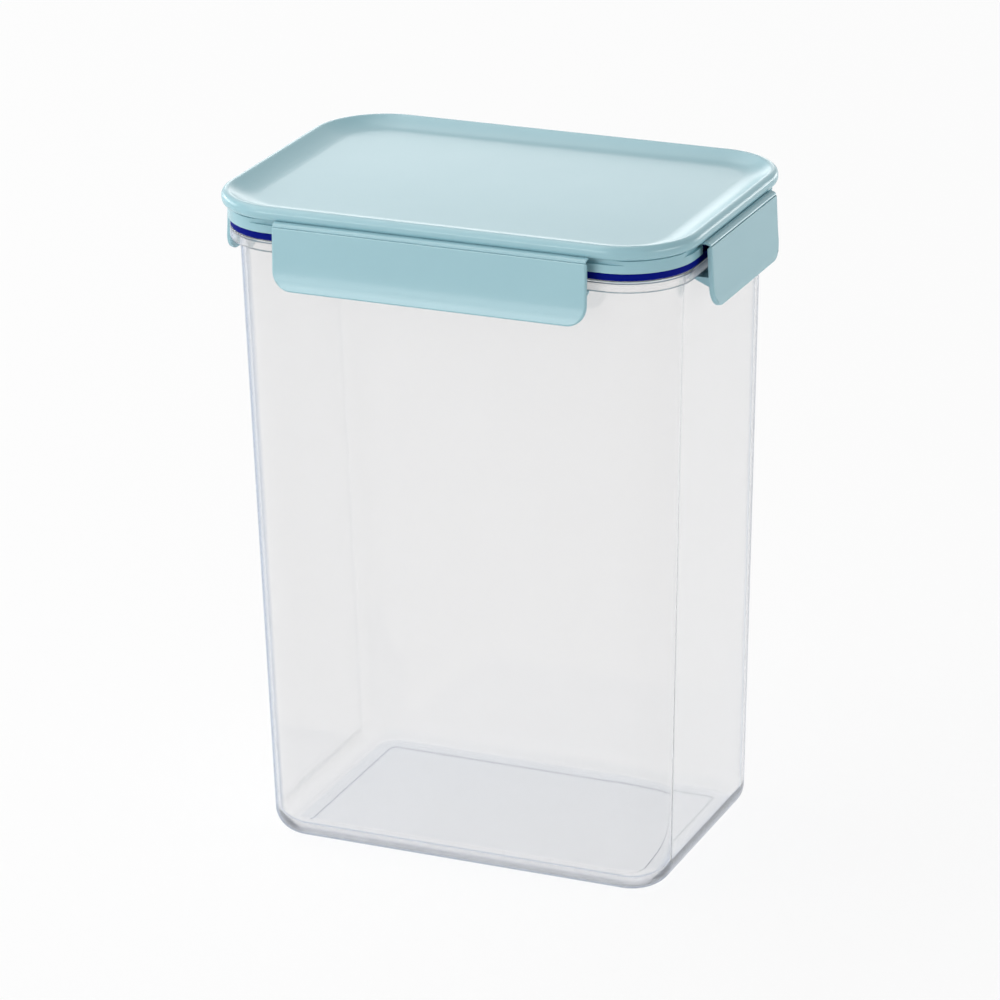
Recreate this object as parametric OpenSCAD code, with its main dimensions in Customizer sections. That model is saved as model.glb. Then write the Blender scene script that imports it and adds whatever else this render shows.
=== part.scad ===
// Tall clear food keeper: a drafted container, a clip-on lid with four flaps on thin film hinges,
// and a soft seal between them.
// Every ring-shaped piece is one flat section (r, z) carried round the same inner rectangle,
// so walls, seal and lid stay the same distance apart all the way round, corners included.

/* [Overall] */
// Lid width across the rim, left to right (mm)
lid_w = 200.8; // [160:0.2:240]
// Lid depth across the rim, front to back (mm)
lid_d = 139.2; // [116:0.2:180]
// Corner radius of the lid rim, seen from above (mm)
lid_corner_r = 30.4; // [26:0.2:36]
// Height of the container without its lid (mm)
container_h = 268.3; // [160:0.1:320]

/* [Container] */
// Wall thickness (mm)
wall_t = 2; // [1.4:0.1:2.4]
// Distance of the neck's outer face inside the lid rim (mm)
neck_inset = 6.7; // [6.4:0.05:7.2]
// How far each wall leans in between flange and table (mm)
wall_draft = 6.6; // [3:0.05:7.5]
// Floor thickness (mm)
floor_t = 2.6; // [1.6:0.1:4]
// Rounding of the outer bottom edge (mm)
base_edge_r = 10; // [6:0.25:10.5]
// Rounding between wall and floor inside (mm)
floor_edge_r = 8; // [4:0.25:9]
// Width of the foot ring's flat (mm)
foot_w = 4.5; // [3:0.25:5]
// Height of the foot ring (mm)
foot_h = 1; // [0.6:0.1:2]
// Neck height above the flange (mm)
neck_h = 6.3; // [5:0.1:8]
// Height of the flange band (mm)
flange_h = 4.9; // [3.6:0.1:6]
// Distance of the flange's outer face inside the lid rim (mm)
flange_inset = 3; // [2.7:0.05:3.2]
// Thickness of the flange's ledge and hanging lip (mm)
flange_t = 1.5; // [1:0.1:1.8]
// Rounding of the flange's upper edge (mm)
flange_edge_r = 0.6; // [0.3:0.1:0.9]

/* [Lid] */
// Height of the lid edge, from skirt bottom to rim top (mm)
lid_edge_h = 11.3; // [10.6:0.1:13]
// Radius of the rim bead's rounding (mm)
bead_r = 2.4; // [2.2:0.1:2.6]
// Height of the rim bead (mm)
bead_h = 5.6; // [5.4:0.1:6]
// Depth of the stacking tray in the lid top (mm)
tray_depth = 3.6; // [2.6:0.1:3.9]
// Slope of the tray side where it meets the rim (degrees)
tray_slope = 31; // [26:1:38]
// Thickness of the lid plate (mm)
plate_t = 2; // [1.4:0.1:2.4]
// Thickness of the skirt (mm)
skirt_t = 1.8; // [1.4:0.1:2]
// How much shorter the gap in the skirt is than its flap, at each end (mm)
skirt_gap_short = 4; // [2:0.25:8]
// Length of the slot under the bead past each flap's end, which runs out on the round corner (mm)
run_out_w = 15; // [12:0.5:18]
// Depth of that slot at the flap's end (mm)
run_out_d = 1.3; // [0.6:0.1:1.5]
// Height of that slot (mm)
run_out_h = 2.4; // [1.6:0.1:2.8]
// How much shorter the ledge under the bead is than its flap, at each end (mm)
ledge_short = 1.5; // [0.5:0.25:2]
// Thickness of the plug wall that reaches into the neck (mm)
plug_t = 1.8; // [1.2:0.1:2.4]
// How far the plug wall reaches below the container's edge (mm)
plug_reach = 8.4; // [5:0.1:12]

/* [Seal] */
// Height of the seal band seen between lid and flange (mm)
seal_show = 3.1; // [2.2:0.1:4]
// Distance of the seal's outer face inside the lid rim (mm)
seal_inset = 3.25; // [3.15:0.05:3.6]
// Thickness of the seal above the container's edge (mm)
seal_web_t = 3.1; // [2.2:0.1:3.3]
// Width of the groove that keeps the seal soft (mm)
seal_groove_w = 2; // [1:0.1:2.6]
// Depth of that groove (mm)
seal_groove_d = 1.6; // [0.8:0.1:1.8]

/* [Flaps] */
// Width of the front and rear flaps (mm)
long_flap_w = 132; // [60:0.2:136]
// Width of the left and right flaps (mm)
short_flap_w = 72; // [40:0.2:74]
// Distance of the flap face outside the lid rim (mm)
flap_out = 2.8; // [2.3:0.05:3.4]
// Distance of the flap's lower edge below the lid top (mm)
flap_low = 31.8; // [28:0.1:38]
// Where the straight upper part of the flap ends, below the lid top (mm)
flap_straight = 19.8; // [16:0.1:21]
// Outward lean of the straight upper part (degrees)
flap_lean = 2.3; // [0:0.1:4]
// How far the lower edge flares out beyond that lean, for the finger (mm)
flap_flare = 0.95; // [0.5:0.05:2.5]
// Flap thickness (mm)
flap_t = 2; // [1.6:0.1:2.2]
// Corner radius of the flap's lower corners (mm)
flap_corner_r = 8; // [4:0.25:11]
// Length of the hook's end left off at each end of the flap (mm)
hook_short = 2; // [1:0.25:6]
// Depth of the hook's blunt tip (mm)
hook_tip_h = 1; // [0.6:0.1:1.6]
// Depth of the hook at its root (mm)
hook_root_h = 4.2; // [2.5:0.1:5]

/* [Film hinges] */
// Thickness of the film (mm)
film_t = 0.5; // [0.3:0.05:0.7]
// Drop of the film's top below the lid top where it leaves the lid (mm)
film_drop = 5; // [4.9:0.1:5.3]
// Drop of the film across its own width (mm)
film_fall = 1.5; // [1:0.1:1.7]
// How much shorter the film is than its flap, at each end (mm)
film_short = 0.25; // [0.1:0.05:1]
// Thickness of the flap's upper edge that the film runs into (mm)
film_edge_t = 1; // [0.7:0.1:1.2]
// Height of that thin upper edge (mm)
film_edge_h = 0.9; // [0.7:0.1:1.4]

/* [Fits] */
// Gap between plug and neck, and between seal and neck (mm)
neck_gap = 0.3; // [0.2:0.05:0.5]
// Gap between hook and flange lip (mm)
hook_gap = 0.3; // [0.2:0.05:0.6]
// Gap between the hook's tip and the container wall (mm)
tip_gap = 1.2; // [0.6:0.05:1.4]

/* [Hidden] */
$fn = 64;
core_w = lid_w - 2 * lid_corner_r;
core_d = lid_d - 2 * lid_corner_r;
z_flange = container_h - neck_h;
z_lip = z_flange - flange_h;
z_skirt = z_flange + seal_show;
z_top = z_skirt + lid_edge_h;
z_tray = z_top - tray_depth;
z_bead = z_top - bead_r;
z_bead_low = z_top - bead_h + bead_r;
z_plate = z_tray - plate_t;
z_floor = foot_h + floor_t;
neck_r = lid_corner_r - neck_inset;
base_r = neck_r - wall_draft;
lean = atan(wall_draft / z_flange);
flange_r = lid_corner_r - flange_inset;
skirt_r = lid_corner_r - bead_r;
seal_r = lid_corner_r - seal_inset;
plug_r = neck_r - wall_t - neck_gap;
channel_r = skirt_r - skirt_t;
z_seal = container_h + neck_gap + seal_web_t;
z_plug = container_h - plug_reach;
face_r = lid_corner_r + flap_out;
film_lid_r = lid_corner_r - bead_r / 3;
film_flap_r = face_r - film_edge_t;
z_film = z_top - film_drop;
z_ledge = z_film - film_t - 1;
z_flap = z_film - film_fall - 0.2;
z_bend = z_top - flap_straight;
z_flap_low = z_top - flap_low;
z_hook = z_lip - hook_gap;
hook_r = wall_r(z_hook) + tip_gap;
flare_h = z_bend - z_flap_low;
flare_arc_r = flare_h * flare_h / (2 * flap_flare);
z_straight = z_flap - film_edge_h;
bend_r = face_r - flap_t / 2 + (z_straight - z_bend) * tan(flap_lean);

// Outer face of the container wall at a height
function wall_r(z) = base_r + z * tan(lean);

// Carry a flat section (r to the right, z up) round the inner rectangle
module around_core() {
    for (corner = [[1, 1, 0], [-1, 1, 90], [-1, -1, 180], [1, -1, 270]])
        translate([corner[0] * core_w / 2, corner[1] * core_d / 2, 0])
            rotate([0, 0, corner[2]])
                rotate_extrude(angle = 90)
                    children();
    for (turn = [0, 180]) {
        rotate([0, 0, turn])
            translate([core_w / 2, 0, 0])
                run_along(core_d)
                    children();
        rotate([0, 0, turn + 90])
            translate([core_d / 2, 0, 0])
                run_along(core_w)
                    children();
    }
}

// Stretch a flat section along a straight side
module run_along(length) {
    rotate([90, 0, 0])
        linear_extrude(height = length, center = true)
            children();
}

module core_plate(z, thick) {
    translate([-core_w / 2, -core_d / 2, z])
        cube([core_w, core_d, thick]);
}

module box_2d(r0, z0, r1, z1) {
    translate([r0, z0])
        square([r1 - r0, z1 - z0]);
}

module disc(r, z, radius) {
    translate([r, z])
        circle(r = radius);
}

// The lower right quarter of a disc, for an edge rounded between a floor and a wall
module quarter_disc(r, z, radius) {
    intersection() {
        disc(r, z, radius);
        box_2d(r, z - radius - 1, r + radius + 1, z);
    }
}

// Solid outline of the container: foot, rounded base edge, leaning wall and neck
module container_outer() {
    edge_c = base_r + base_edge_r * tan(lean) - base_edge_r / cos(lean);
    foot_in = edge_c - foot_w;
    quarter_disc(edge_c, base_edge_r, base_edge_r);
    polygon([
        [0, foot_h],
        [foot_in, foot_h],
        [foot_in, 0],
        [edge_c, 0],
        [edge_c + base_edge_r * cos(lean), base_edge_r - base_edge_r * sin(lean)],
        [neck_r, z_flange],
        [neck_r, container_h - wall_t / 2],
        [0, container_h - wall_t / 2]
    ]);
}

// The room inside: flat floor, rounded floor edge, leaning wall
module container_room() {
    floor_c = wall_r(z_floor + floor_edge_r) - wall_t - floor_edge_r / cos(lean);
    quarter_disc(floor_c, z_floor + floor_edge_r, floor_edge_r);
    polygon([
        [-1, z_floor],
        [floor_c, z_floor],
        [floor_c + floor_edge_r * cos(lean), z_floor + floor_edge_r * (1 - sin(lean))],
        [neck_r - wall_t, z_flange],
        [neck_r - wall_t, container_h],
        [-1, container_h]
    ]);
}

// Ledge and hanging lip that the flap hooks catch under
module flange_section() {
    lip_c = flange_r - flange_t / 2;
    disc(flange_r - flange_edge_r, z_flange - flange_edge_r, flange_edge_r);
    disc(lip_c, z_lip + flange_t / 2, flange_t / 2);
    polygon([
        [neck_r - wall_t / 2, z_flange],
        [flange_r - flange_edge_r, z_flange],
        [flange_r, z_flange - flange_edge_r],
        [flange_r, z_lip + flange_t / 2],
        [flange_r - flange_t, z_lip + flange_t / 2],
        [flange_r - flange_t, z_flange - flange_t],
        [neck_r - wall_t / 2, z_flange - flange_t]
    ]);
}

module container_section() {
    difference() {
        container_outer();
        container_room();
    }
    flange_section();
    disc(neck_r - wall_t / 2, container_h - wall_t / 2, wall_t / 2);
}

module container() {
    color([0.90, 0.91, 0.95, 0.35]) {
        around_core()
            container_section();
        core_plate(foot_h, floor_t);
    }
}

// Lid edge: tray side, round bead, skirt, seal channel and plug wall
module lid_section() {
    meet_r = skirt_r - bead_r * sin(tray_slope);
    meet_z = z_bead + bead_r * cos(tray_slope);
    tray_arc_r = (meet_z - z_tray) / (1 - cos(tray_slope));
    tray_start = meet_r - tray_arc_r * sin(tray_slope);
    difference() {
        union() {
            box_2d(0, z_plate, plug_r, z_top);
            box_2d(plug_r - plug_t, z_seal, meet_r, z_top);
        }
        box_2d(-1, z_tray, tray_start, z_top + 1);
        disc(tray_start, z_tray + tray_arc_r, tray_arc_r);
    }
    box_2d(meet_r - bead_r, z_seal, skirt_r, z_bead);
    disc(skirt_r, z_bead, bead_r);
    disc(skirt_r, z_bead_low, bead_r);
    box_2d(skirt_r, z_bead_low, lid_corner_r, z_bead);
    box_2d(channel_r, z_skirt, skirt_r, z_bead);
    box_2d(plug_r - plug_t, z_plug, plug_r, z_plate + plate_t / 2);
}

// Gap in the skirt behind a flap
module skirt_cut(flap_w) {
    length = flap_w - 2 * skirt_gap_short;
    translate([channel_r, -length / 2, z_skirt - 1])
        cube([skirt_t + bead_r, length, z_ledge - z_skirt + 1]);
}

// Straight slot under the bead; past both ends of a flap the round corner leaves it
module run_out(flap_w) {
    length = flap_w + 2 * run_out_w;
    translate([skirt_r - run_out_d, -length / 2, z_film - film_t - run_out_h])
        cube([run_out_d + bead_r, length, run_out_h]);
}

// Ledge under the bead that the film leaves from
module hinge_ledge(flap_w) {
    length = flap_w - 2 * ledge_short;
    translate([channel_r, -length / 2, z_ledge])
        cube([film_lid_r - channel_r, length, z_bead_low - z_ledge]);
}

module lid() {
    color([0.66, 0.82, 0.86]) {
        difference() {
            union() {
                around_core()
                    lid_section();
                core_plate(z_plate, plate_t);
            }
            on_front() skirt_cut(long_flap_w);
            on_front() run_out(long_flap_w);
            on_rear() skirt_cut(long_flap_w);
            on_rear() run_out(long_flap_w);
            on_left() skirt_cut(short_flap_w);
            on_left() run_out(short_flap_w);
            on_right() skirt_cut(short_flap_w);
            on_right() run_out(short_flap_w);
        }
        on_front() hinge_ledge(long_flap_w);
        on_rear() hinge_ledge(long_flap_w);
        on_left() hinge_ledge(short_flap_w);
        on_right() hinge_ledge(short_flap_w);
    }
}

// Soft seal: a band on the flange, a leg inside the skirt and a grooved web over the container's edge
module gasket_section() {
    leg_r = neck_r + neck_gap;
    groove_c = (plug_r + channel_r) / 2;
    difference() {
        polygon([
            [plug_r, container_h + neck_gap],
            [leg_r, container_h + neck_gap],
            [leg_r, z_flange],
            [seal_r, z_flange],
            [seal_r, z_skirt],
            [channel_r, z_skirt],
            [channel_r, z_seal],
            [plug_r, z_seal]
        ]);
        box_2d(groove_c - seal_groove_w / 2, z_seal - seal_groove_d, groove_c + seal_groove_w / 2, z_seal + 1);
    }
}

module gasket() {
    color([0.07, 0.12, 0.55])
        around_core()
            gasket_section();
}

// Flap side view: thin upper edge, leaning straight part, outward flare for the finger.
// It runs past the lower edge, where the front view cuts it off.
module flap_section(past) {
    $fn = 256;
    out_r = cos(flap_lean);
    out_z = sin(flap_lean);
    flare_c = bend_r + flare_arc_r * out_r;
    flare_z = z_bend + flare_arc_r * out_z;
    far = flare_arc_r + 2 * flap_t;
    box_2d(film_flap_r, z_straight, face_r, z_flap);
    polygon([
        [face_r - flap_t, z_straight],
        [face_r, z_straight],
        [bend_r + out_r * flap_t / 2, z_bend + out_z * flap_t / 2],
        [bend_r - out_r * flap_t / 2, z_bend - out_z * flap_t / 2]
    ]);
    intersection() {
        difference() {
            disc(flare_c, flare_z, flare_arc_r + flap_t / 2);
            disc(flare_c, flare_z, flare_arc_r - flap_t / 2);
        }
        polygon([
            [flare_c, flare_z],
            [flare_c - far * out_r, flare_z - far * out_z],
            [flare_c - far * out_r, z_flap_low - past],
            [flare_c, z_flap_low - past]
        ]);
    }
}

// Hook side view: flat on top to catch the lip, sloped below to ride over it
module hook_section() {
    root_r = face_r - flap_t / 2;
    polygon([
        [root_r, z_hook],
        [hook_r, z_hook],
        [hook_r, z_hook - hook_tip_h],
        [root_r, z_hook - hook_root_h]
    ]);
}

// Flap front view: a plate with its lower corners rounded
module flap_outline(flap_w) {
    half = flap_w / 2;
    corner_y = half - flap_corner_r;
    corner_z = z_flap_low + flap_corner_r;
    for (side = [-1, 1])
        disc(side * corner_y, corner_z, flap_corner_r);
    polygon([
        [-corner_y, z_flap_low],
        [corner_y, z_flap_low],
        [half, corner_z],
        [half, z_top],
        [-half, z_top],
        [-half, corner_z]
    ]);
}

// What the side view and the front view have in common, with the hook behind it
module flap(flap_w) {
    past = 1;
    intersection() {
        run_along(flap_w + 2 * past)
            flap_section(past);
        translate([face_r - 3 * flap_t, 0, 0])
            rotate([90, 0, 90])
                linear_extrude(height = 6 * flap_t)
                    flap_outline(flap_w);
    }
    run_along(flap_w - 2 * hook_short)
        hook_section();
}

module film(flap_w) {
    run_along(flap_w - 2 * film_short)
        polygon([
            [film_lid_r, z_film],
            [film_flap_r, z_film - film_fall],
            [film_flap_r, z_film - film_fall - film_t],
            [film_lid_r, z_film - film_t]
        ]);
}

// Move a piece drawn for the right-hand side onto one side of the inner rectangle
module on_right() {
    translate([core_w / 2, 0, 0])
        children();
}

module on_left() {
    rotate([0, 0, 180])
        on_right()
            children();
}

module on_rear() {
    rotate([0, 0, 90])
        translate([core_d / 2, 0, 0])
            children();
}

module on_front() {
    rotate([0, 0, 180])
        on_rear()
            children();
}

module front_flap() {
    color([0.64, 0.81, 0.85])
        on_front() flap(long_flap_w);
}

module rear_flap() {
    color([0.64, 0.81, 0.85])
        on_rear() flap(long_flap_w);
}

module left_flap() {
    color([0.64, 0.81, 0.85])
        on_left() flap(short_flap_w);
}

module right_flap() {
    color([0.64, 0.81, 0.85])
        on_right() flap(short_flap_w);
}

module front_film_hinge() {
    color([0.72, 0.86, 0.89])
        on_front() film(long_flap_w);
}

module rear_film_hinge() {
    color([0.72, 0.86, 0.89])
        on_rear() film(long_flap_w);
}

module left_film_hinge() {
    color([0.72, 0.86, 0.89])
        on_left() film(short_flap_w);
}

module right_film_hinge() {
    color([0.72, 0.86, 0.89])
        on_right() film(short_flap_w);
}

container();
lid();
gasket();
front_flap();
rear_flap();
left_flap();
right_flap();
front_film_hinge();
rear_film_hinge();
left_film_hinge();
right_film_hinge();
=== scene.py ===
# %% [markdown]
# # A tall food keeper with a clip-on lid
#
# The solids of this keeper already exist, each at its real size and place. This lesson dresses them: every
# solid gets a smooth Blender mesh in the same place, and a finish that looks like the real plastic. Lengths
# are in metres, +Z is up, the long side runs along X and the front looks towards -Y.

# %% Load the solids
import math

import bmesh
import bpy
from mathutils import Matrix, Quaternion, Vector


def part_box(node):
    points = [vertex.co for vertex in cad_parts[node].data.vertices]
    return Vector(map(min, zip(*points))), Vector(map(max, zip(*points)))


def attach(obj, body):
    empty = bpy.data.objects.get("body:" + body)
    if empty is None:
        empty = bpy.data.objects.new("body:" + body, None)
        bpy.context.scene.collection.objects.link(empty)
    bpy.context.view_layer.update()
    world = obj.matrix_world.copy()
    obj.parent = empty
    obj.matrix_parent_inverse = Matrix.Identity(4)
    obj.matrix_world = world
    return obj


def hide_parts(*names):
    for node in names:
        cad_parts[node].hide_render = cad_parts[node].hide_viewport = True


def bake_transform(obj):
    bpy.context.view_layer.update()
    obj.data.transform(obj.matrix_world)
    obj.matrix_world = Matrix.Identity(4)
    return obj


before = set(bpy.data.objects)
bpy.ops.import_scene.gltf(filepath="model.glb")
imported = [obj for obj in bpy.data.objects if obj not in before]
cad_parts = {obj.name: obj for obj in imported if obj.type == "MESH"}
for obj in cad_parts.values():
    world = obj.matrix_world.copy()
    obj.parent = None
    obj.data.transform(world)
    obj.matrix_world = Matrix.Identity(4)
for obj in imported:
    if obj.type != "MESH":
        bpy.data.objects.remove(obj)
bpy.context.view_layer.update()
print("solids:", sorted(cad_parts))

# %% [markdown]
# ## The rectangle that everything goes round
#
# The lid rim, the seal and the container's walls are all rounded rectangles with the same corner centres. So
# one inner rectangle is enough: a point of any section is a distance `r` out from that rectangle and a
# height `z`. The overall sizes are read from the solids, and only the sizes that no box can give are written
# here.

# %% Driving sizes
MM = 0.001
RIM_CORNER = 30.4 * MM

lid_low, lid_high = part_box("lid")
CORE_X = lid_high.x - RIM_CORNER
CORE_Y = lid_high.y - RIM_CORNER
LID_TOP = lid_high.z
PLUG_END = lid_low.z
print("half sizes of the inner rectangle:", CORE_X, CORE_Y, "lid top:", LID_TOP)

# %% [markdown]
# ## Drawing a section as if with a pen
#
# A moulded ring is easiest to draw as a thin slice. Blender has no pen for that, but a single vertex works
# as one: extruding it draws a straight line, and spinning it about a centre draws an arc. A plane merged to
# its middle gives the first vertex.


# %% Pen tools
def place(r, z):
    """A section point, drawn where the right-hand side starts, at the front."""
    return Vector((CORE_X + r, -CORE_Y, z))


def settle():
    """Put the active object's place, turn and scale into its mesh."""
    bpy.ops.object.transform_apply(location=True, rotation=True, scale=True)


def start_section(name, r, z):
    """Put the pen down: a new object with one selected vertex, in edit mode."""
    bpy.ops.object.select_all(action="DESELECT")
    bpy.ops.mesh.primitive_plane_add(size=MM, location=place(r, z))
    piece = bpy.context.object
    piece.name = name
    piece.data.name = name
    settle()
    bpy.ops.object.mode_set(mode="EDIT")
    bpy.ops.mesh.select_mode(type="VERT")
    bpy.ops.mesh.select_all(action="SELECT")
    bpy.ops.mesh.merge(type="CENTER")
    return piece


def line_to(r, z):
    """Draw a straight line from the pen."""
    mesh = bmesh.from_edit_mesh(bpy.context.object.data)
    pen = next(v.co for v in mesh.verts if v.select)
    bpy.ops.mesh.extrude_region_move(TRANSFORM_OT_translate={"value": place(r, z) - pen})


def arc_about(r, z, degrees, steps):
    """Spin the pen about a centre. Positive degrees go anticlockwise, with r to the right and z up."""
    bpy.ops.mesh.spin(steps=steps, angle=math.radians(degrees), center=place(r, z), axis=(0, 1, 0))


# %% [markdown]
# ## Carrying a section round the keeper
#
# The same two tools now work on the whole slice: extrude runs it along a straight side and spin turns it
# round a corner. After four sides and four corners the last slice lies on the first, so merging by distance
# closes the ring. Holes that are left, such as the flat middle of a floor, are filled with one face.

# %% Ring tools
CORNER_STEPS = 24
WELD = 0.002 * MM


def run_side(along, half, stations):
    """Run the slice along a straight side, with a stop at each station, counted from the side's middle."""
    here = -half
    for station in [*stations, half]:
        bpy.ops.mesh.extrude_region_move(TRANSFORM_OT_translate={"value": along * (station - here)})
        here = station


def turn_corner(x, y):
    bpy.ops.mesh.spin(steps=CORNER_STEPS, angle=math.radians(90), center=(x, y, 0), axis=(0, 0, -1))


def weld():
    """Merge vertices that lie on each other."""
    bpy.ops.mesh.select_all(action="SELECT")
    bpy.ops.mesh.remove_doubles(threshold=WELD)


def fill_open():
    """Close each hole with one face."""
    bpy.ops.mesh.select_all(action="DESELECT")
    bpy.ops.mesh.select_non_manifold()
    bpy.ops.mesh.fill_holes(sides=0)


def carry_round(short_stations=(), long_stations=()):
    """Take the slice once round the inner rectangle and close the ring."""
    bpy.ops.mesh.select_all(action="SELECT")
    run_side(Vector((0, 1, 0)), CORE_Y, short_stations)
    turn_corner(CORE_X, CORE_Y)
    run_side(Vector((-1, 0, 0)), CORE_X, long_stations)
    turn_corner(-CORE_X, CORE_Y)
    run_side(Vector((0, -1, 0)), CORE_Y, short_stations)
    turn_corner(-CORE_X, -CORE_Y)
    run_side(Vector((1, 0, 0)), CORE_X, long_stations)
    turn_corner(CORE_X, -CORE_Y)
    weld()
    fill_open()


# %% [markdown]
# ## Shading
#
# A moulding has many soft rounds and a few crisp edges. Smooth shading by angle keeps the crisp ones, and
# weighted normals let the large flat faces stay flat beside the small rounds, which a subdivision surface
# would need many more faces for.

# %% Shading
SMOOTH_ANGLE = math.radians(28)


def smooth(piece):
    """Turn all faces outwards, shade the rounds and measure the result."""
    bpy.ops.object.mode_set(mode="EDIT")
    bpy.ops.mesh.select_all(action="SELECT")
    bpy.ops.mesh.normals_make_consistent(inside=False)
    bpy.ops.object.mode_set(mode="OBJECT")
    bpy.ops.object.shade_smooth_by_angle(angle=SMOOTH_ANGLE)
    bpy.ops.object.modifier_add(type="WEIGHTED_NORMAL")
    piece.modifiers[-1].keep_sharp = True
    bpy.ops.object.modifier_apply(modifier=piece.modifiers[-1].name)
    mesh = bmesh.new()
    mesh.from_mesh(piece.data)
    open_edges = sum(not e.is_manifold for e in mesh.edges)
    volume = mesh.calc_volume()
    mesh.free()
    print(f"{piece.name}: {len(piece.data.polygons)} faces, {open_edges} open edges, {volume:.3e} m3")


# %% [markdown]
# ## The clear container
#
# The container is one deep injection moulding. Its walls lean in towards the base so that it slips off the
# mould, the base edge is generously rounded, and below the mouth a flange with a hanging lip gives the flaps
# something to hook under. A clear wall shows both of its faces, so the slice has an outer and an inner line
# all the way. When a piece is made, one call says which moving body it rides on, and another hides the solid
# that it stands for.

# %% Container sizes
WALL = 2 * MM
FLOOR = 2.6 * MM
FOOT_WIDTH = 4.5 * MM
FOOT_HEIGHT = 1 * MM
FOOT_EDGE = 0.5 * MM
BASE_ROUND = 10 * MM
FLOOR_ROUND = 8 * MM
WALL_DRAFT = 6.6 * MM
FLANGE_THICK = 1.5 * MM
FLANGE_EDGE = 0.3 * MM
FLANGE_HEIGHT = 4.9 * MM
NECK_INSET = 6.7 * MM
MIDDLE = 1.5 * MM  # slices of floors start here, and the flat middle inside is one face
EDGE_STEPS = 4
END_STEPS = 8
BASE_STEPS = 14
FLOOR_STEPS = 12

container_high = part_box("container")[1]
FLANGE_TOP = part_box("gasket")[0].z
MOUTH = container_high.z
LIP_LOW = FLANGE_TOP - FLANGE_HEIGHT
flange_r = container_high.x - CORE_X
neck_r = RIM_CORNER - NECK_INSET
base_r = neck_r - WALL_DRAFT
lean = math.atan2(WALL_DRAFT, FLANGE_TOP)
print(f"wall leans {math.degrees(lean):.2f} degrees, flange top {FLANGE_TOP / MM:.1f} mm")


# %% Container
def wall_at(z):
    """How far out the wall's outer face is at a height."""
    return base_r + z * math.tan(lean)


def make_container():
    edge_c = wall_at(BASE_ROUND) - BASE_ROUND / math.cos(lean)
    foot_in = edge_c - FOOT_WIDTH
    ledge_z = FLANGE_TOP - FLANGE_THICK
    lip_half = FLANGE_THICK / 2
    floor_z = FOOT_HEIGHT + FLOOR
    floor_c_z = floor_z + FLOOR_ROUND
    floor_c = wall_at(floor_c_z) - WALL - FLOOR_ROUND / math.cos(lean)
    turn = math.degrees(lean)
    piece = start_section("container_shell", MIDDLE, FOOT_HEIGHT)
    line_to(foot_in - FOOT_EDGE, FOOT_HEIGHT)
    arc_about(foot_in - FOOT_EDGE, FOOT_HEIGHT - FOOT_EDGE, -90, EDGE_STEPS)
    arc_about(foot_in + FOOT_EDGE, FOOT_EDGE, 90, EDGE_STEPS)
    line_to(edge_c, 0)
    arc_about(edge_c, BASE_ROUND, 90 - turn, BASE_STEPS)
    line_to(wall_at(ledge_z), ledge_z)
    line_to(flange_r - FLANGE_THICK, ledge_z)
    line_to(flange_r - FLANGE_THICK, LIP_LOW + lip_half)
    arc_about(flange_r - lip_half, LIP_LOW + lip_half, 180, END_STEPS)
    line_to(flange_r, FLANGE_TOP - FLANGE_EDGE)
    arc_about(flange_r - FLANGE_EDGE, FLANGE_TOP - FLANGE_EDGE, 90, EDGE_STEPS)
    line_to(neck_r, FLANGE_TOP)
    line_to(neck_r, MOUTH - WALL / 2)
    arc_about(neck_r - WALL / 2, MOUTH - WALL / 2, 180, END_STEPS)
    line_to(neck_r - WALL, FLANGE_TOP)
    line_to(floor_c + FLOOR_ROUND * math.cos(lean), floor_c_z - FLOOR_ROUND * math.sin(lean))
    arc_about(floor_c, floor_c_z, turn - 90, FLOOR_STEPS)
    line_to(MIDDLE, floor_z)
    carry_round()
    smooth(piece)
    return piece


container = make_container()
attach(container, "container")
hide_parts("container")

# %% [markdown]
# ## The lid
#
# The lid is one moulding too: a sunk tray that another keeper can stand on, a round bead as rim, a skirt
# below it and, inside, a channel for the seal and a plug wall that reaches into the mouth. Under the bead a
# fine groove goes all the way round. Below that, a straight slot along each side leaves the round corners
# standing out. Behind each flap a ledge comes out of the slot, where the flap's hinge starts, and the skirt
# below is cut away.

# %% Lid sizes
BEAD = 2.4 * MM
BEAD_HEIGHT = 5.6 * MM
BEAD_GROOVE_DEPTH = 0.9 * MM
BEAD_GROOVE_HEIGHT = 0.6 * MM
SKIRT = 1.8 * MM
SKIRT_EDGE = 0.4 * MM
SEAL_BAND = 3.1 * MM
TRAY_DEPTH = 3.6 * MM
TRAY_SLOPE = 31
PLATE = 2 * MM
PLUG = 1.8 * MM
NECK_GAP = 0.3 * MM
SLOT_DEPTH = 1.3 * MM
SLOT_HEIGHT = 2.3 * MM
LEDGE_HEIGHT = 1.5 * MM

front_film_low, front_film_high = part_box("front_film_hinge")
FILM_TOP = front_film_high.z
FILM_IN = -front_film_high.y - CORE_Y
FILM_OUT = -front_film_low.y - CORE_Y
SKIRT_LOW = FLANGE_TOP + SEAL_BAND
SEAL_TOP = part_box("gasket")[1].z
BEAD_LOW = LID_TOP - BEAD_HEIGHT
SLOT_LOW = BEAD_LOW - SLOT_HEIGHT
LEDGE_LOW = FILM_TOP - LEDGE_HEIGHT
skirt_r = RIM_CORNER - BEAD
slot_r = skirt_r - SLOT_DEPTH
channel_r = skirt_r - SKIRT
plug_r = neck_r - WALL - NECK_GAP
print("film from", FILM_IN / MM, "to", FILM_OUT / MM, "mm outside the inner rectangle, top", FILM_TOP / MM)

# %% [markdown]
# Slot, ledge and cut could be booleans, but those leave long thin faces that shade badly. Here the slice is
# stopped at a few stations along a side instead, and some of its rows are pressed flat between them.

# %% Lid tools
LEDGE_SHORT = 1.5 * MM
SKIRT_GAP_SHORT = 4 * MM
STEP_RUN = 0.15 * MM
SHORT_DROP = 0.1 * MM


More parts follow.
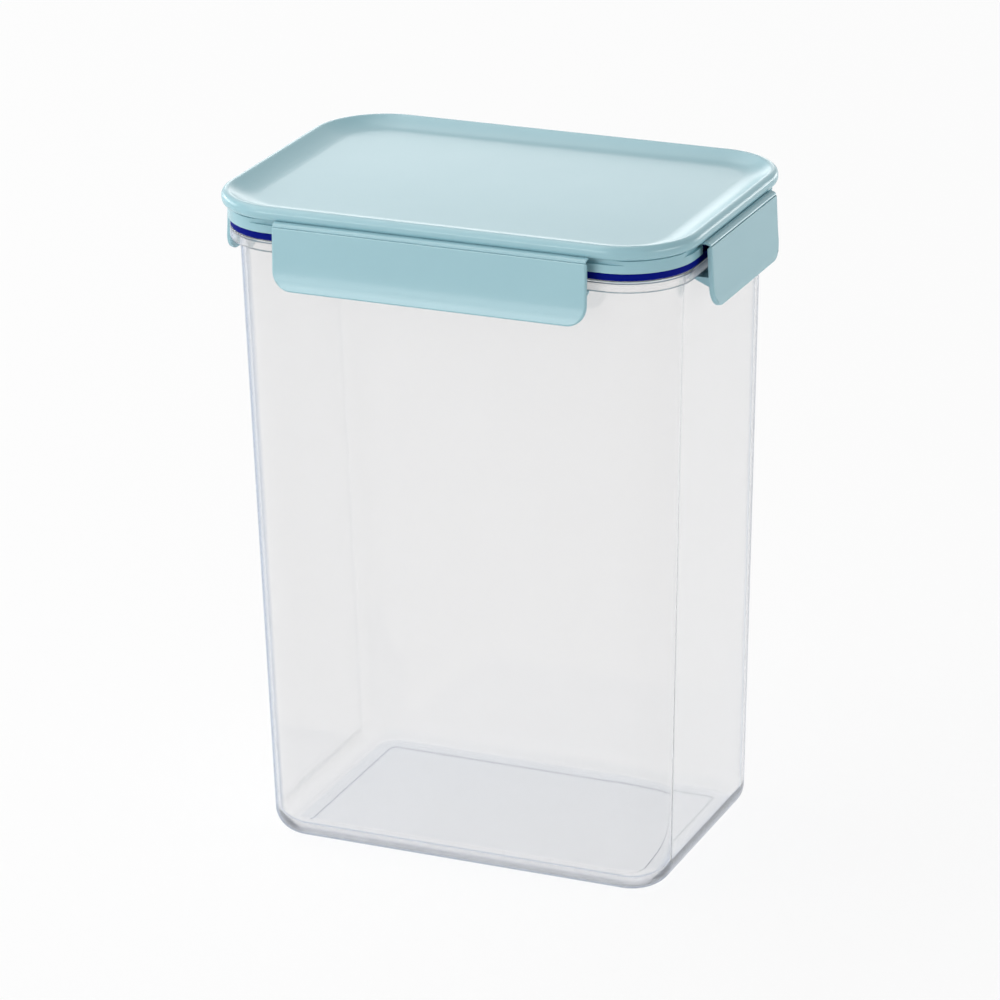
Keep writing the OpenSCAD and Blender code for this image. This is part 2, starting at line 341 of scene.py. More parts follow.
def stops(flap_half):
    """Where along a side the slice changes: on the left half first, then the same mirrored."""
    left = []
    for change in (flap_half - LEDGE_SHORT, flap_half - SKIRT_GAP_SHORT):
        left += [-change - STEP_RUN, -change + STEP_RUN]
    return left + [-stop for stop in reversed(left)]


def select_where(wanted):
    """Select exactly those vertices whose place passes the test."""
    bpy.ops.mesh.select_all(action="DESELECT")
    mesh = bmesh.from_edit_mesh(bpy.context.object.data)
    for v in mesh.verts:
        v.select_set(wanted(v.co))
    mesh.select_flush_mode()


def shape_flap_place(out, core, flap_half):
    """Press the slot in, pull the hinge ledge out and cut the skirt away on one side."""
    along = Vector((-out.y, out.x, 0))
    flat = Vector((1 - abs(out.x), 1 - abs(out.y), 1))

    def r_of(point):
        return point.dot(out) - core

    def is_beside(point, short):
        return abs(point.dot(along)) < flap_half - short

    def is_slot(point):
        return r_of(point) > slot_r + WELD and SLOT_LOW + WELD < point.z < BEAD_LOW - WELD

    def is_ledge(point):
        in_place = is_beside(point, LEDGE_SHORT) and channel_r + WELD < r_of(point) < FILM_IN
        return in_place and LEDGE_LOW - WELD < point.z < FILM_TOP + BEAD / 2

    def is_skirt(point):
        in_place = is_beside(point, SKIRT_GAP_SHORT) and r_of(point) > channel_r - WELD
        return in_place and SKIRT_LOW - WELD < point.z < LEDGE_LOW - WELD

    def is_outer_skirt(point):
        return is_skirt(point) and r_of(point) > slot_r

    for wanted, r in ((is_slot, slot_r), (is_ledge, FILM_IN), (is_outer_skirt, slot_r)):
        select_where(wanted)
        bpy.ops.transform.resize(value=flat, center_override=out * (core + r))
    select_where(is_skirt)
    bpy.ops.transform.resize(value=(1, 1, 0), center_override=(0, 0, LEDGE_LOW - SHORT_DROP))


# %% Lid
LONG_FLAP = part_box("front_flap")[1].x * 2
SHORT_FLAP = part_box("right_flap")[1].y * 2
TRAY_STEPS = 10
BEAD_TOP_STEPS = 18
BEAD_UNDER_STEPS = 14


def make_lid():
    tray_z = LID_TOP - TRAY_DEPTH
    bead_z = LID_TOP - BEAD
    slope = math.radians(TRAY_SLOPE)
    meet_r = skirt_r - BEAD * math.sin(slope)
    meet_z = bead_z + BEAD * math.cos(slope)
    tray_round = (meet_z - tray_z) / (1 - math.cos(slope))
    tray_start = meet_r - tray_round * math.sin(slope)
    plate_z = tray_z - PLATE
    groove_z = BEAD_LOW - BEAD_GROOVE_HEIGHT
    piece = start_section("lid_shell", MIDDLE, tray_z)
    line_to(tray_start, tray_z)
    arc_about(tray_start, tray_z + tray_round, TRAY_SLOPE, TRAY_STEPS)
    arc_about(skirt_r, bead_z, -90 - TRAY_SLOPE, BEAD_TOP_STEPS)
    line_to(RIM_CORNER, BEAD_LOW + BEAD)
    arc_about(skirt_r, BEAD_LOW + BEAD, -90, BEAD_UNDER_STEPS)
    line_to(skirt_r - BEAD_GROOVE_DEPTH, BEAD_LOW)
    line_to(skirt_r - BEAD_GROOVE_DEPTH, groove_z)
    for z in (groove_z, LEDGE_LOW, LEDGE_LOW - SHORT_DROP, SLOT_LOW + SHORT_DROP, SLOT_LOW):
        line_to(skirt_r, z)
    line_to(skirt_r, SKIRT_LOW + SKIRT_EDGE)
    arc_about(skirt_r - SKIRT_EDGE, SKIRT_LOW + SKIRT_EDGE, -90, EDGE_STEPS)
    line_to(channel_r + SKIRT_EDGE, SKIRT_LOW)
    arc_about(channel_r + SKIRT_EDGE, SKIRT_LOW + SKIRT_EDGE, -90, EDGE_STEPS)
    line_to(channel_r, SEAL_TOP)
    line_to(plug_r, SEAL_TOP)
    line_to(plug_r, PLUG_END + PLUG / 2)
    arc_about(plug_r - PLUG / 2, PLUG_END + PLUG / 2, -180, END_STEPS)
    line_to(plug_r - PLUG, plate_z)
    line_to(MIDDLE, plate_z)
    carry_round(stops(SHORT_FLAP / 2), stops(LONG_FLAP / 2))
    for turn in (-1, 1):
        shape_flap_place(Vector((0, turn, 0)), CORE_Y, LONG_FLAP / 2)
    for turn in (-1, 1):
        shape_flap_place(Vector((turn, 0, 0)), CORE_X, SHORT_FLAP / 2)
    weld()
    smooth(piece)
    return piece


lid = make_lid()
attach(lid, "lid")
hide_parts("lid")

# %% [markdown]
# ## The seal
#
# The seal is a soft silicone ring. It sits in the lid's channel, covers the container's edge, and a band of
# it shows between skirt and flange. A groove in its back lets it give when the flaps pull the lid down. The
# band's edges are rounded, as soft rubber is.

# %% Seal
SEAL_LIFT = 0.05 * MM
SEAL_EDGE = 0.5 * MM
SEAL_EDGE_STEPS = 5
SEAL_GROOVE_WIDTH = 2 * MM
SEAL_GROOVE_DEPTH = 1.6 * MM


def make_seal():
    seal_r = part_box("gasket")[1].x - CORE_X
    low = FLANGE_TOP + SEAL_LIFT
    high = SKIRT_LOW - SEAL_LIFT
    back = SEAL_TOP - SEAL_LIFT
    leg_r = neck_r + NECK_GAP
    out_r = channel_r - SEAL_LIFT
    in_r = plug_r + SEAL_LIFT
    groove_c = (plug_r + channel_r) / 2
    groove_out = groove_c + SEAL_GROOVE_WIDTH / 2
    groove_in = groove_c - SEAL_GROOVE_WIDTH / 2
    piece = start_section("seal_ring", in_r, MOUTH + NECK_GAP)
    line_to(leg_r, MOUTH + NECK_GAP)
    line_to(leg_r, low)
    line_to(seal_r - SEAL_EDGE, low)
    arc_about(seal_r - SEAL_EDGE, low + SEAL_EDGE, 90, SEAL_EDGE_STEPS)
    line_to(seal_r, high - SEAL_EDGE)
    arc_about(seal_r - SEAL_EDGE, high - SEAL_EDGE, 90, SEAL_EDGE_STEPS)
    line_to(out_r, high)
    line_to(out_r, back)
    line_to(groove_out, back)
    line_to(groove_out, back - SEAL_GROOVE_DEPTH)
    line_to(groove_in, back - SEAL_GROOVE_DEPTH)
    line_to(groove_in, back)
    line_to(in_r, back)
    line_to(in_r, MOUTH + NECK_GAP)
    weld()
    carry_round()
    smooth(piece)
    return piece


seal = make_seal()
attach(seal, "lid")
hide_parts("gasket")

# %% [markdown]
# ## The flaps
#
# A flap is a plate that leans out a little and flares at its lower edge for the finger, with a hook across
# its back. All four are made at the front, with the inner rectangle's edge as zero, and then turned to their
# side.

# %% Flap sizes
FLAP_THICK = 2 * MM
FLAP_CORNER = 8 * MM
FLAP_LEAN = math.radians(2.3)
FLAP_FLARE = 0.95 * MM
FLAP_STRAIGHT = 19.8 * MM
FILM_EDGE = 1 * MM
FILM_EDGE_HEIGHT = 0.9 * MM
HOOK_SHORT = 2 * MM
HOOK_ROOT = 4.2 * MM
HOOK_TIP = 1 * MM
HOOK_GAP = 0.3 * MM
TIP_GAP = 1.2 * MM

FLAP_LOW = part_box("front_flap")[0].z
FLAP_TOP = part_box("front_flap")[1].z
FACE = FILM_OUT + FILM_EDGE
STRAIGHT_TOP = FLAP_TOP - FILM_EDGE_HEIGHT
BEND = LID_TOP - FLAP_STRAIGHT
HOOK_TOP = LIP_LOW - HOOK_GAP
HOOK_LOW = HOOK_TOP - HOOK_ROOT
hook_r = wall_at(HOOK_TOP) + TIP_GAP
SIDES = {
    "front": (0, LONG_FLAP, Vector((0, -CORE_Y, 0))),
    "right": (90, SHORT_FLAP, Vector((CORE_X, 0, 0))),
    "rear": (180, LONG_FLAP, Vector((0, CORE_Y, 0))),
    "left": (270, SHORT_FLAP, Vector((-CORE_X, 0, 0))),
}
print(f"flaps {LONG_FLAP / MM:.1f} and {SHORT_FLAP / MM:.1f} mm wide, hook tip {hook_r / MM:.1f} mm out")

# %% [markdown]
# The plate starts as a flat plane in front view, because there its round corners are easy: two vertices are
# bevelled. Cuts across it give rows that are pushed outwards, and Solidify gives it its thickness.

# %% Flap plate
FLAP_CORNER_STEPS = 12
FLAP_ROWS = 6
LEVEL_DIGITS = 7


def face_out(z):
    """How far the flap's face is pushed out at a height, by its lean and its flare."""
    lean_out = max(0, STRAIGHT_TOP - z) * math.tan(FLAP_LEAN)
    below = max(0, BEND - z) / (BEND - FLAP_LOW)
    return lean_out + FLAP_FLARE * below ** 2


def cut(point, normal):
    bpy.ops.mesh.select_all(action="SELECT")
    bpy.ops.mesh.bisect(plane_co=point, plane_no=normal)


def make_plate(side, width):
    """The leaning, flared plate, still without thickness."""
    middle = (0, -FACE, (FLAP_TOP + FLAP_LOW) / 2)
    bpy.ops.object.select_all(action="DESELECT")
    bpy.ops.mesh.primitive_plane_add(size=1, location=middle, rotation=(math.radians(90), 0, 0))
    piece = bpy.context.object
    piece.name = f"{side}_flap_plate"
    piece.data.name = piece.name
    piece.scale = (width, FLAP_TOP - FLAP_LOW, 1)
    settle()
    bpy.ops.object.mode_set(mode="EDIT")
    bpy.ops.mesh.select_mode(type="VERT")
    select_where(lambda point: point.z < FLAP_LOW + WELD)
    bpy.ops.mesh.bevel(offset=FLAP_CORNER, segments=FLAP_CORNER_STEPS, affect="VERTICES")
    flare_rows = [HOOK_LOW + (FLAP_LOW - HOOK_LOW) * n / FLAP_ROWS for n in range(1, FLAP_ROWS)]
    for z in [STRAIGHT_TOP, STRAIGHT_TOP - STEP_RUN, HOOK_TOP, HOOK_LOW] + flare_rows:
        cut((0, 0, z), (0, 0, 1))
    for x in (-width / 2 + HOOK_SHORT, width / 2 - HOOK_SHORT):
        cut((x, 0, 0), (1, 0, 0))
    mesh = bmesh.from_edit_mesh(piece.data)
    for level in sorted({round(v.co.z, LEVEL_DIGITS) for v in mesh.verts}):
        select_where(lambda point: abs(point.z - level) < WELD / 2)
        bpy.ops.transform.translate(value=(0, -face_out(level), 0))
    return piece


def thicken(piece):
    """Give the plate its thickness, and thin its upper edge, where the film joins it."""
    bpy.ops.object.mode_set(mode="OBJECT")
    bpy.ops.object.modifier_add(type="SOLIDIFY")
    piece.modifiers[-1].thickness = FLAP_THICK
    piece.modifiers[-1].offset = -1
    bpy.ops.object.modifier_apply(modifier=piece.modifiers[-1].name)
    bpy.ops.object.mode_set(mode="EDIT")
    back_y = -FACE + FLAP_THICK / 2
    select_where(lambda point: point.z > STRAIGHT_TOP - WELD and point.y > back_y)
    bpy.ops.transform.translate(value=(0, -(FLAP_THICK - FILM_EDGE), 0))


# %% [markdown]
# The hook is extruded from a band of the plate's back, so plate and hook stay one closed mesh. Its lower
# edge is lifted at the tip, which makes it taper and slide over the flange's lip.

# %% Flap hook
STRAIGHT_BACK = 0.9


def add_hook(width):
    def is_root(face):
        middle = face.calc_center_median()
        in_band = HOOK_LOW < middle.z < HOOK_TOP and abs(middle.x) < width / 2 - HOOK_SHORT
        return in_band and face.normal.y > STRAIGHT_BACK

    bpy.ops.mesh.select_mode(type="FACE")
    mesh = bmesh.from_edit_mesh(bpy.context.object.data)
    bpy.ops.mesh.select_all(action="DESELECT")
    for f in mesh.faces:
        f.select_set(is_root(f))
    bpy.ops.mesh.extrude_region_move(
        TRANSFORM_OT_translate={"value": (0, FACE - hook_r - FLAP_THICK, 0)}
    )
    bpy.ops.transform.resize(value=(1, 0, 1), center_override=(0, -hook_r, 0))
    bpy.ops.mesh.select_mode(type="VERT")
    select_where(lambda point: point.y > -hook_r - WELD and point.z < HOOK_TOP - HOOK_ROOT / 2)
    bpy.ops.transform.translate(value=(0, 0, HOOK_ROOT - HOOK_TIP))


# %% [markdown]
# Three bevels follow: a soft one round the face, where the hand and the light meet it, a small one along the
# top beside the hinge, and a fine one on every edge that is still sharp.

# %% Flap edges
FACE_ROUND = 0.7 * MM
FACE_ROUND_STEPS = 4
TOP_ROUND = 0.4 * MM
TOP_ROUND_STEPS = 3
BACK_ROUND = 0.3 * MM
BACK_ROUND_STEPS = 2
SHARP_ANGLE = math.radians(50)
HALF_TURNED = 0.5


def select_edges(wanted):
    mesh = bmesh.from_edit_mesh(bpy.context.object.data)
    bpy.ops.mesh.select_all(action="DESELECT")
    for e in mesh.edges:
        e.select_set(wanted(e))


def is_face_edge(edge):
    """Between the front face and a side or lower face."""
    turned = sorted(abs(face.normal.y) for face in edge.link_faces)
    ahead = min(face.normal.y for face in edge.link_faces)
    top = min(v.co.z for v in edge.verts) > FLAP_TOP - WELD
    return turned[0] < HALF_TURNED < turned[-1] and ahead < -HALF_TURNED and not top


def is_top_edge(edge):
    """Between the front face and the top."""
    low_z = min(v.co.z for v in edge.verts)
    back_y = max(v.co.y for v in edge.verts)
    return low_z > FLAP_TOP - WELD and back_y < -FACE + FILM_EDGE / 2


def round_edges():
    bpy.ops.mesh.select_mode(type="EDGE")
    select_edges(is_face_edge)
    bpy.ops.mesh.bevel(offset=FACE_ROUND, segments=FACE_ROUND_STEPS, affect="EDGES")
    select_edges(is_top_edge)
    bpy.ops.mesh.bevel(offset=TOP_ROUND, segments=TOP_ROUND_STEPS, affect="EDGES")
    bpy.ops.mesh.select_all(action="DESELECT")
    bpy.ops.mesh.edges_select_sharp(sharpness=SHARP_ANGLE)
    bpy.ops.mesh.bevel(offset=BACK_ROUND, segments=BACK_ROUND_STEPS, affect="EDGES")
    bpy.ops.mesh.select_mode(type="VERT")


# %% [markdown]
# With these steps the four flaps are made one after the other. Each rides on a body of its own, because it
# turns on its hinge.


# %% Four flaps
def seat(piece, side):
    """Turn a piece that was made at the front to its side, and put the move into its mesh."""
    turn, _, edge = SIDES[side]
    piece.rotation_euler.z = math.radians(turn)
    piece.location = edge
    settle()


def make_flap(side):
    width = SIDES[side][1]
    piece = make_plate(side, width)
    thicken(piece)
    add_hook(width)
    round_edges()
    smooth(piece)
    seat(piece, side)
    return piece


flaps = {}
for side in SIDES:
    flaps[side] = make_flap(side)
    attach(flaps[side], f"{side}_flap")
    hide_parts(f"{side}_flap")

# %% [markdown]
# ## The film hinges
#
# Between lid and flap the plastic is thinned to a film along two lines, so it bends thousands of times
# without a pin. A rounded bar is left between the two lines, and it takes half of the turn. Each hinge is
# one slice, drawn with the pen and extruded along the flap.

# %% Film hinge slice
FILM_THICK = 0.4 * MM
FILM_SHORT = 0.25 * MM
FILM_BITE = 0.25 * MM
FILM_LINE = 0.3 * MM
BAR_EDGE = 0.2 * MM
BAR_EDGE_STEPS = 3
BAR_STEPS = 8
line_r = FACE - FILM_THICK - FILM_LINE


def make_film(side):
    """Draw the hinge's slice on the right, run it along the flap and turn it to its side."""
    width = SIDES[side][1] - 2 * FILM_SHORT
    line_z = FILM_TOP - FILM_THICK
    bar_in = FILM_IN + FILM_THICK
    bar_c = bar_in + BAR_EDGE
    bar_low = FLAP_TOP + FILM_LINE
    piece = start_section(f"{side}_film_strip", FILM_IN - FILM_BITE, line_z)
    line_to(bar_in, line_z)
    line_to(bar_in, FILM_TOP - BAR_EDGE)
    arc_about(bar_c, FILM_TOP - BAR_EDGE, -90, BAR_EDGE_STEPS)
    for step in range(1, BAR_STEPS + 1):
        turn = math.radians(90 * step / BAR_STEPS)
        out_r = bar_c + (line_r + FILM_LINE - bar_c) * math.sin(turn)
        line_to(out_r, bar_low + (FILM_TOP - bar_low) * math.cos(turn))
    line_to(line_r, bar_low)
    line_to(line_r, FLAP_TOP - FILM_BITE)
    line_to(line_r - FILM_BITE, FLAP_TOP - FILM_BITE)
    line_to(line_r - FILM_THICK, bar_low)
    line_to(bar_in, line_z - FILM_THICK)
    line_to(FILM_IN - FILM_BITE, line_z - FILM_THICK)
    line_to(FILM_IN - FILM_BITE, line_z)
    weld()
    bpy.ops.mesh.extrude_region_move(TRANSFORM_OT_translate={"value": (0, width, 0)})
    fill_open()
    smooth(piece)
    piece.location = (-CORE_X, CORE_Y - width / 2, 0)
    settle()
    piece.rotation_euler.z = math.radians(-90)
    settle()
    seat(piece, side)
    return piece


# %% [markdown]
# A strip that bends can't ride on one body, so each film is attached to none, and its place is put into
# its mesh.

films = {}
for side in SIDES:
    films[side] = make_film(side)
    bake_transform(films[side])
    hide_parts(f"{side}_film_hinge")

# %% [markdown]
# ## Finishes
#
# Colours are written as a painter would pick them from a screen, in sRGB hex, and turned to the linear
# values that a renderer works with. One helper adds a node with its settings and links, and a few more stand
# for the nodes that are used most, so each material below reads as a short recipe.


# %% Material tools
def linear(hex_colour):
    """An sRGB hex colour as linear red, green, blue and alpha."""
    channels = [int(hex_colour[i:i + 2], 16) / 255 for i in (1, 3, 5)]
    return [c / 12.92 if c <= 0.04045 else ((c + 0.055) / 1.055) ** 2.4 for c in channels] + [1]


def add_node(tree, kind, settings=None, links=None, **properties):
    """Add a node, set its properties and socket values, and link other nodes' sockets into it."""
    node = tree.nodes.new(kind)
    for name, value in properties.items():
        setattr(node, name, value)
    for name, value in (settings or {}).items():
        node.inputs[name].default_value = value
    for name, source in (links or {}).items():
        tree.links.new(source, node.inputs[name])
    return node


def new_material(name):
    """An empty material and its node tree."""
    material = bpy.data.materials.new(name)
    material.use_nodes = True
    material.node_tree.nodes.clear()
    return material, material.node_tree


def dress(piece, material):
    piece.data.materials.clear()
    piece.data.materials.append(material)
    print(piece.name, "wears", material.name)


# %% Node recipes
COLOUR_OUT = 2  # the Mix node has one output for each kind of data, and this one is colour


def noise(tree, size_mm, detail):
    """Soft noise from 0 to 1 on Object coordinates, with spots of about this size."""
    spot = add_node(tree, "ShaderNodeTexCoord").outputs["Object"]
    settings = {"Scale": 1 / (size_mm * MM), "Detail": detail}
    return add_node(tree, "ShaderNodeTexNoise", settings, {"Vector": spot}).outputs["Fac"]


def bump(tree, height, strength, distance):
    settings = {"Strength": strength, "Distance": distance}
    return add_node(tree, "ShaderNodeBump", settings, {"Height": height}).outputs["Normal"]


def ramp(tree, value, start, end, low=0, high=1):
    """Low where the value is at start, high where it is at end, and even in between."""
    settings = {"From Min": start, "From Max": end, "To Min": low, "To Max": high}
    return add_node(tree, "ShaderNodeMapRange", settings, {"Value": value}).outputs["Result"]


def combine(tree, operation, first, second):
    """One Math node on two values."""
    node = add_node(tree, "ShaderNodeMath", links={0: first, 1: second}, operation=operation)
    return node.outputs["Value"]


def two_tone(tree, share, first, second):
    """A colour that goes from the first to the second as the share goes from 0 to 1."""
    mix = add_node(tree, "ShaderNodeMix", links={"Factor": share}, data_type="RGBA")
    mix.inputs["A"].default_value = linear(first)
    mix.inputs["B"].default_value = linear(second)
    return mix.outputs[COLOUR_OUT]


def mix_shaders(tree, share, first, second):
    """The first shader where the share is 0, the second where it is 1."""
    node = add_node(tree, "ShaderNodeMixShader", links={"Fac": share, 1: first, 2: second})
    return node.outputs["Shader"]


# %% [markdown]
# ### Satin polypropylene
#
# Lid, flaps and films are polypropylene, moulded against a finely eroded steel surface. To the eye that
# gives a soft sheen without a sharp mirror image, a faint grain, and a colour that drifts a little where the
# melt cooled at different rates.

# %% Satin polypropylene
MINT_PALE = "#9DC6CF"
MINT_DEEP = "#97C0CA"
DRIFT_MM = 45
DRIFT_DETAIL = 2
GRAIN_MM = 0.9
GRAIN_DETAIL = 3
GRAIN_HEIGHT = 0.03 * MM
SATIN_BUMP = 0.25
SATIN_ROUGHNESS = (0.2, 0.28)
POLYPROPYLENE_IOR = 1.49


def satin_polypropylene():
    material, tree = new_material("satin_polypropylene_mint")
    drift = noise(tree, DRIFT_MM, DRIFT_DETAIL)
    grain = noise(tree, GRAIN_MM, GRAIN_DETAIL)
    shader = add_node(
        tree,
        "ShaderNodeBsdfPrincipled",
        {"IOR": POLYPROPYLENE_IOR},
        {
            "Base Color": two_tone(tree, drift, MINT_PALE, MINT_DEEP),
            "Roughness": ramp(tree, grain, 0, 1, *SATIN_ROUGHNESS),
            "Normal": bump(tree, grain, SATIN_BUMP, GRAIN_HEIGHT),
        },
    )
    add_node(tree, "ShaderNodeOutputMaterial", links={"Surface": shader.outputs["BSDF"]})
    return material


lid_plastic = satin_polypropylene()
for piece in [lid, *flaps.values(), *films.values()]:
    dress(piece, lid_plastic)

# %% [markdown]
# ### Clear copolyester
#
# The container is a clear, tough copolyester, moulded against polished steel. It is never quite clear: a
# little light scatters at each face, which is what makes an empty wall show at all. In the rounded corners,
# at the base edge and in the flange, where the eye looks along a face, the colour is painted blue-grey and
# less light passes: painted shade for the darker edges that a clear wall shows there, while the flat walls
# stay clear from every side. The underside is lightly frosted, as a face is that slides over shelves, and
# that also lets light out of the floor, which would otherwise carry it sideways like a light guide.

# %% Where blue-grey edge shade is painted on the plastic
# The blue-grey on grazing faces in the rounded places is painted shade, standing in for the darker edges of
# a clear wall.
GRAZING = (0.55, 0.8)
CORNER_FADE = 6 * MM
EVEN_BLEND = 0.5


# This mask marks where the painted blue-grey edge shade goes.
def rounded_places(tree, spot):
    """1 in the rounded corners, at the base edge and in the flange, and 0 on the flat walls."""
    across = []
    for axis, core in (("X", CORE_X), ("Y", CORE_Y)):
        distance = add_node(tree, "ShaderNodeMath", links={0: spot[axis]}, operation="ABSOLUTE")
        across.append(ramp(tree, distance.outputs["Value"], core, core + CORNER_FADE))
    corner = combine(tree, "MULTIPLY", *across)
    base = ramp(tree, spot["Z"], BASE_ROUND, BASE_ROUND / 2)
    flange = ramp(tree, spot["Z"], LIP_LOW - FLANGE_EDGE, LIP_LOW)
    return combine(tree, "MAXIMUM", corner, combine(tree, "MAXIMUM", base, flange))


def haze_and_edge_shade(tree, spot):
    """1 where the eye looks along a rounded face, and 0 where it looks straight on: where painted edge shade
    goes.
    """
    facing = add_node(tree, "ShaderNodeLayerWeight", {"Blend": EVEN_BLEND}).outputs["Facing"]
    return combine(tree, "MULTIPLY", ramp(tree, facing, *GRAZING), rounded_places(tree, spot))


# %% [markdown]
# Lamps would leave a black shadow behind any glass-like shader, so their rays pass straight through, dimmed
# a little, as light does through the wall. The volume gives the plastic its faint blue where it is thick.

# %% Clear copolyester
CLEAR = "#F9F8F7"
# painted shade for the rounded edges, not a colour that the plastic has
EDGE_SHADE_BLUE_GREY = "#7E96B6"
PASSED_LIGHT = "#F2F4F7"
DEEP_BLUE = "#95AAC4"
DEEP_BLUE_DENSITY = 26
FROST_TOP = (1.2 * MM, 2 * MM)
FROST_ROUGHNESS = 0.25
POLISH_ROUGHNESS = 0.04
WALL_CLEARNESS = 0.94
HAZE_CLEARNESS = 0.4
COPOLYESTER_IOR = 1.54


def clear_copolyester():
    material, tree = new_material("clear_copolyester")
    point = add_node(tree, "ShaderNodeTexCoord").outputs["Object"]
    spot = add_node(tree, "ShaderNodeSeparateXYZ", links={"Vector": point}).outputs
    edge = haze_and_edge_shade(tree, spot)
    wall = add_node(
        tree,
        "ShaderNodeBsdfPrincipled",
        {"IOR": COPOLYESTER_IOR},
        {
            # Painted edge shade: the base colour turns blue-grey where the mask is 1, and less light passes
            # there.
            "Base Color": two_tone(tree, edge, CLEAR, EDGE_SHADE_BLUE_GREY),
            "Roughness": ramp(tree, spot["Z"], *FROST_TOP, FROST_ROUGHNESS, POLISH_ROUGHNESS),
            "Transmission Weight": ramp(tree, edge, 0, 1, WALL_CLEARNESS, HAZE_CLEARNESS),
        },
    )
    passing = add_node(tree, "ShaderNodeBsdfTransparent", {"Color": linear(PASSED_LIGHT)})
    lamp_ray = add_node(tree, "ShaderNodeLightPath").outputs["Is Shadow Ray"]
    surface = mix_shaders(tree, lamp_ray, wall.outputs["BSDF"], passing.outputs["BSDF"])
    inside = {"Color": linear(DEEP_BLUE), "Density": DEEP_BLUE_DENSITY}
    volume = add_node(tree, "ShaderNodeVolumeAbsorption", inside).outputs["Volume"]
    add_node(tree, "ShaderNodeOutputMaterial", links={"Surface": surface, "Volume": volume})
    return material


dress(container, clear_copolyester())

# %% [markdown]
# ### Silicone
#
# The seal is silicone rubber, dyed right through. It is smooth but not glossy, so only a little soft light
# shows along its rounded edges.

# %% Silicone
NAVY_DEEP = "#020F72"
NAVY_PALE = "#041682"
SPECKLE_MM = 1.2
SPECKLE_DETAIL = 3
SILICONE_BUMP = 0.2
SILICONE_LOOK = {"IOR": 1.41, "Roughness": 0.6, "Specular IOR Level": 0.06}


def navy_silicone():
    material, tree = new_material("navy_silicone")
    speckle = noise(tree, SPECKLE_MM, SPECKLE_DETAIL)
    links = {
        "Base Color": two_tone(tree, speckle, NAVY_DEEP, NAVY_PALE),
        "Normal": bump(tree, speckle, SILICONE_BUMP, GRAIN_HEIGHT),
    }
    shader = add_node(tree, "ShaderNodeBsdfPrincipled", SILICONE_LOOK, links)
    add_node(tree, "ShaderNodeOutputMaterial", links={"Surface": shader.outputs["BSDF"]})
    return material


dress(seal, navy_silicone())

# %% [markdown]
# ## Studio
#
# A keeper like this is photographed on a white sweep. The floor is a plain white plane, and the world gives
# even light. Camera, mirror and see-through rays meet mostly plain white, so the clear walls show the same
# background, and the rest of the floor's brightness is lit paper, which keeps the keeper's soft shadow.

# %% Floor
FLOOR_SIZE = 30
FLOOR_DROP = 0.05 * MM
SEEN_WHITE = 0.88
WHITE = "#FFFFFF"
PAPER = "#F2F2F2"


def shown_rays(tree):
    """1 for rays that show things, also mirrored or through a clear wall, and 0 for rays that light."""
    path = add_node(tree, "ShaderNodeLightPath").outputs
    mirrored = combine(tree, "MAXIMUM", path["Is Glossy Ray"], path["Is Transmission Ray"])
    return combine(tree, "MAXIMUM", path["Is Camera Ray"], mirrored)


def white_sweep():
    material, tree = new_material("white_sweep")
    paper = add_node(tree, "ShaderNodeBsdfDiffuse", {"Color": linear(PAPER)}).outputs["BSDF"]
    plain = {"Color": linear(WHITE), "Strength": 1}
    white = add_node(tree, "ShaderNodeEmission", plain).outputs["Emission"]
    share = ramp(tree, shown_rays(tree), 0, 1, 0, SEEN_WHITE)
    surface = mix_shaders(tree, share, paper, white)
    add_node(tree, "ShaderNodeOutputMaterial", links={"Surface": surface})
    return material


bpy.ops.object.select_all(action="DESELECT")
bpy.ops.mesh.primitive_plane_add(size=FLOOR_SIZE, location=(0, 0, -FLOOR_DROP))
floor = bpy.context.object
floor.name = "studio_floor"
settle()
dress(floor, white_sweep())

# %% World
ROOM_LIGHT = 0.2

world = bpy.data.worlds.new("studio")
bpy.context.scene.world = world
world.use_nodes = True
world_tree = world.node_tree
world_tree.nodes.clear()
strength = ramp(world_tree, shown_rays(world_tree), 0, 1, ROOM_LIGHT, 1)
backdrop = add_node(world_tree, "ShaderNodeBackground", {"Color": linear(WHITE)}, {"Strength": strength})
add_node(world_tree, "ShaderNodeOutputWorld", links={"Surface": backdrop.outputs["Background"]})
print("room light", ROOM_LIGHT, "and plain white where it is seen")

# %% [markdown]
# ## Lamps
#
# Eight soft boxes, all weak. The key stands in front on the left, and a low strip below it shines back from
# the flared edges of the flaps. A box above on the left models the slopes, and one high behind lightens the
# far slope and the top of the bead. A strip behind gives the tray its pale sheen, because a satin face
# reflects most at a flat angle. Three low strips keep the two sides and the rear open.

# %% Lamps
LAMP_AIM = Vector((0, 0, 0.2))


def direction(azimuth, elevation):
    """From the keeper outwards, in degrees. Azimuth 0 is in front of the keeper and 90 is on its right."""
    a, e = math.radians(azimuth), math.radians(elevation)
    return Vector((math.sin(a) * math.cos(e), -math.cos(a) * math.cos(e), math.sin(e)))


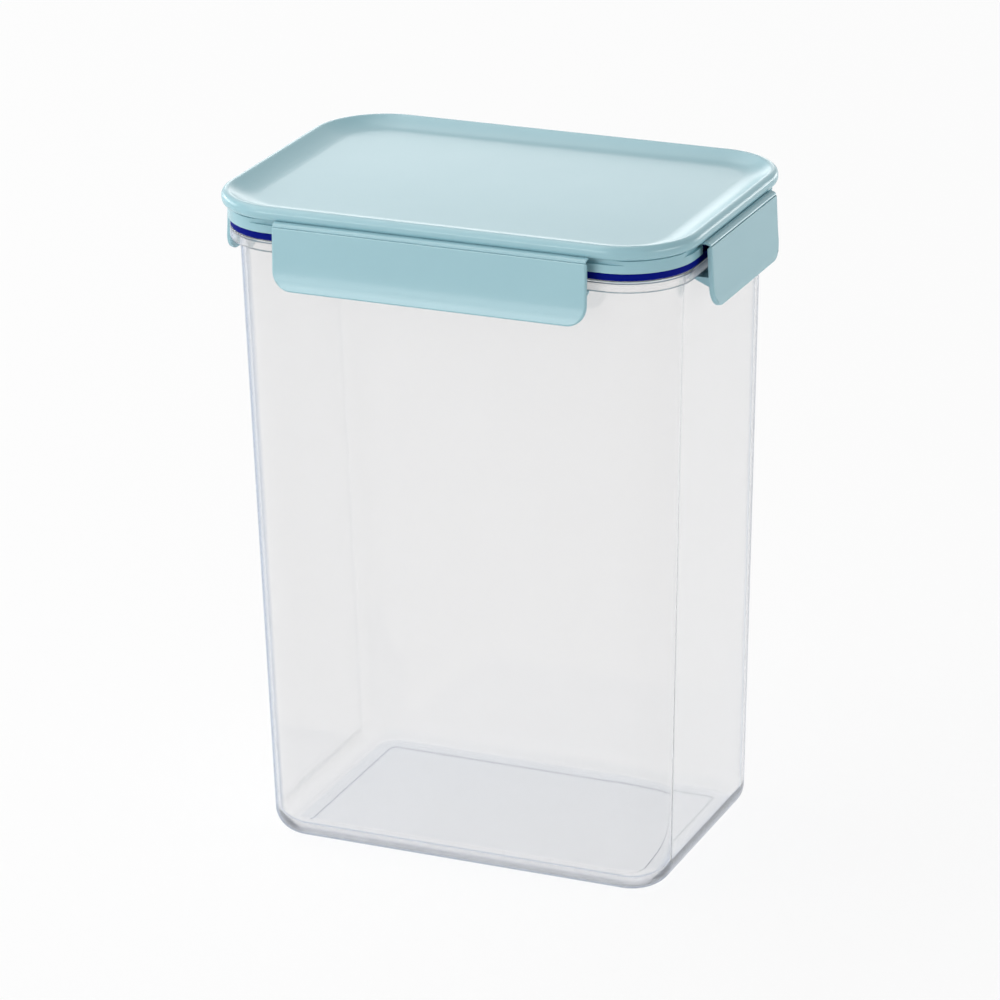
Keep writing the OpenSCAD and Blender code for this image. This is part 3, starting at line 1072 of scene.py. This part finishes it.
def soft_box(name, azimuth, elevation, distance, size, watts):
    """An area lamp that looks at the lid and isn't seen itself."""
    back = direction(azimuth, elevation)
    bpy.ops.object.light_add(type="AREA", location=LAMP_AIM + back * distance)
    lamp = bpy.context.object
    lamp.name = name
    lamp.rotation_mode = "QUATERNION"
    lamp.rotation_quaternion = back.to_track_quat("Z", "Y")
    lamp.data.shape = "RECTANGLE"
    lamp.data.size, lamp.data.size_y = size
    lamp.data.energy = watts
    lamp.visible_camera = False
    lamp.visible_transmission = False
    print(f"{name}: {watts} W, {azimuth} degrees round, {elevation} up")


soft_box("key_box", -42, 36, 1.9, (1.2, 1.2), 8)
soft_box("front_strip", -25, 3, 2.0, (1.4, 0.5), 12.5)
soft_box("top_box", -75, 62, 1.8, (1.2, 1.2), 10.5)
soft_box("high_back_box", 228, 54, 2.0, (1.1, 1.3), 6.5)
soft_box("left_strip", -100, 12, 2.0, (1.4, 0.5), 10)
soft_box("back_strip", 204, 12, 2.0, (1.2, 0.5), 3.3)
soft_box("right_strip", 80, 5, 2.0, (1.4, 0.5), 12)
soft_box("rear_strip", 152, 4, 2.0, (1.4, 0.5), 9)

# %% [markdown]
# ## Camera
#
# The camera stands where the photographer stood: a long lens, a little to the right of the front and above
# the lid. Roll is the slight tilt of the frame.

# %% Camera
CAMERA_AZIMUTH = 23.66
CAMERA_ELEVATION = 20.82
CAMERA_ROLL = math.radians(-0.97)
CAMERA_DISTANCE = 1970 * MM
CAMERA_AIM = Vector((-2.24, -0.94, 139.79)) * MM
LENS = 174.96
SENSOR = 36

bpy.ops.object.camera_add()
camera = bpy.context.object
camera.name = "photo_camera"
camera.data.lens = LENS
camera.data.sensor_width = SENSOR
camera_back = direction(CAMERA_AZIMUTH, CAMERA_ELEVATION)
camera.location = CAMERA_AIM + camera_back * CAMERA_DISTANCE
camera.rotation_mode = "QUATERNION"
camera.rotation_quaternion = camera_back.to_track_quat("Z", "Y") @ Quaternion((0, 0, 1), CAMERA_ROLL)
bpy.context.scene.camera = camera
bpy.context.scene.view_settings.view_transform = "Standard"
print("camera at", tuple(camera.location))
